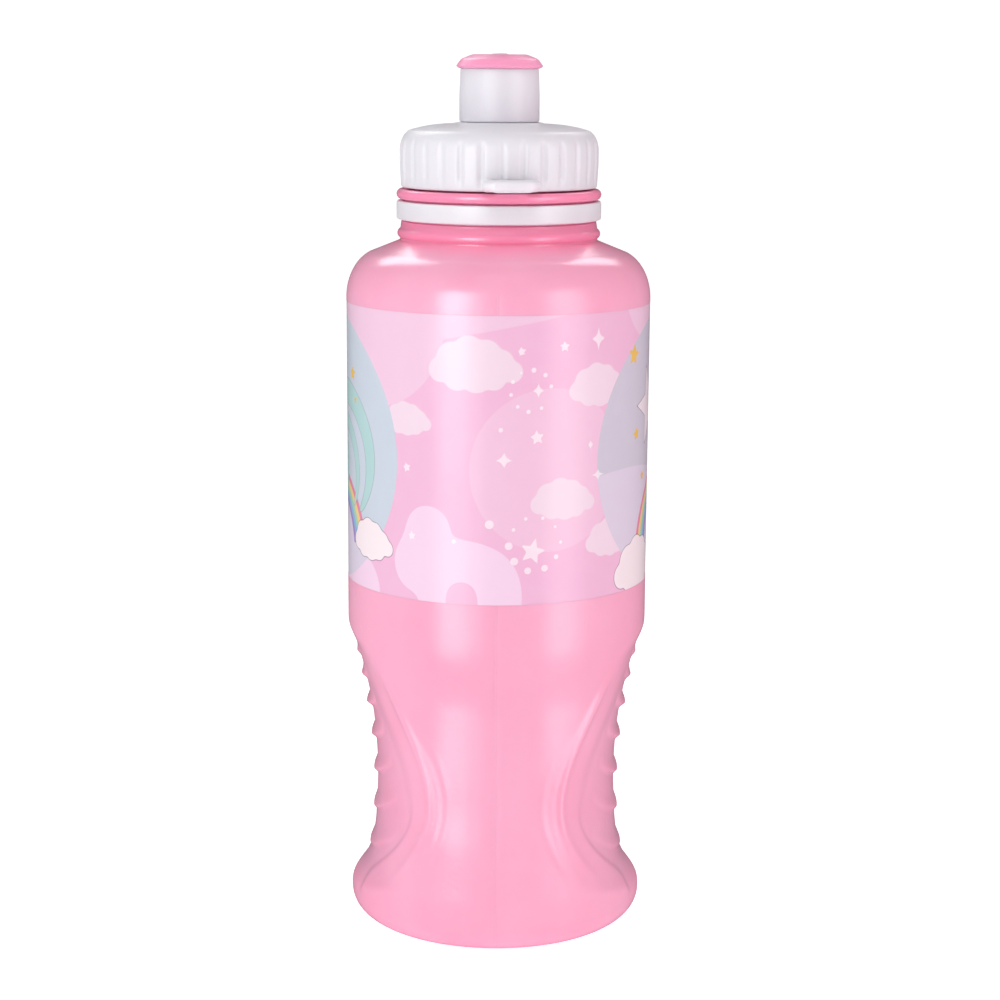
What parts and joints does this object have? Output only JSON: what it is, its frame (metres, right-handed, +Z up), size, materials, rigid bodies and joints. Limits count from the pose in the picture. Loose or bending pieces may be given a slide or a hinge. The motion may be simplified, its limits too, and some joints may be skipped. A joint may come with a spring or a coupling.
{
  "type": "kids water bottle",
  "caption": "Squeeze drinking bottle with a waisted, ribbed grip, a printed wrap, a loose neck band, a screw cap with a strap lug, and a push-pull spout.",
  "frame": {"origin": "middle of the base, on the surface that the bottle stands on", "axes": "+Z up along the bottle's axis, -Y the front, where the cap's strap lug is, and the two ribbed hollows of the grip on -X and +X"},
  "size_m": [0.067, 0.067, 0.1932],
  "materials": {
    "pink_body": "satin, slightly translucent",
    "printed_film": "printed satin film",
    "white_band": "satin",
    "seal_foam": "matt",
    "white_cap": "satin",
    "white_spout": "satin",
    "pink_tip": "satin"
  },
  "bodies": {
    "bottle": {"bottle_body": "pink_body", "wrap_film": "printed_film"},
    "band": {"neck_band": "white_band"},
    "seal": {"cap_seal": "seal_foam"},
    "cap": {"screw_cap": "white_cap"},
    "spout": {"spout_slider": "white_spout", "mouthpiece_tip": "pink_tip"}
  },
  "joints": [
    {"name": "band_spin", "type": "hinge", "parent": "bottle", "child": "band", "pos_m": [0, 0, 0.1596], "axis": [0, 0, 1], "continuous": true},
    {"name": "cap_lift", "type": "slide", "parent": "bottle", "child": "seal", "axis": [0, 0, 1], "range_m": [0, 0.01101]},
    {"name": "cap_turn", "type": "hinge", "parent": "seal", "child": "cap", "pos_m": [0, 0, 0.17], "axis": [0, 0, 1], "range_deg": [0, 990]},
    {"name": "spout_pull", "type": "slide", "parent": "cap", "child": "spout", "axis": [0, 0, 1], "range_m": [0, 0.0063]}
  ],
  "couplings": [
    {"joint": "cap_lift", "follows": "cap_turn", "m_per_rad": 0.00063662}
  ]
}
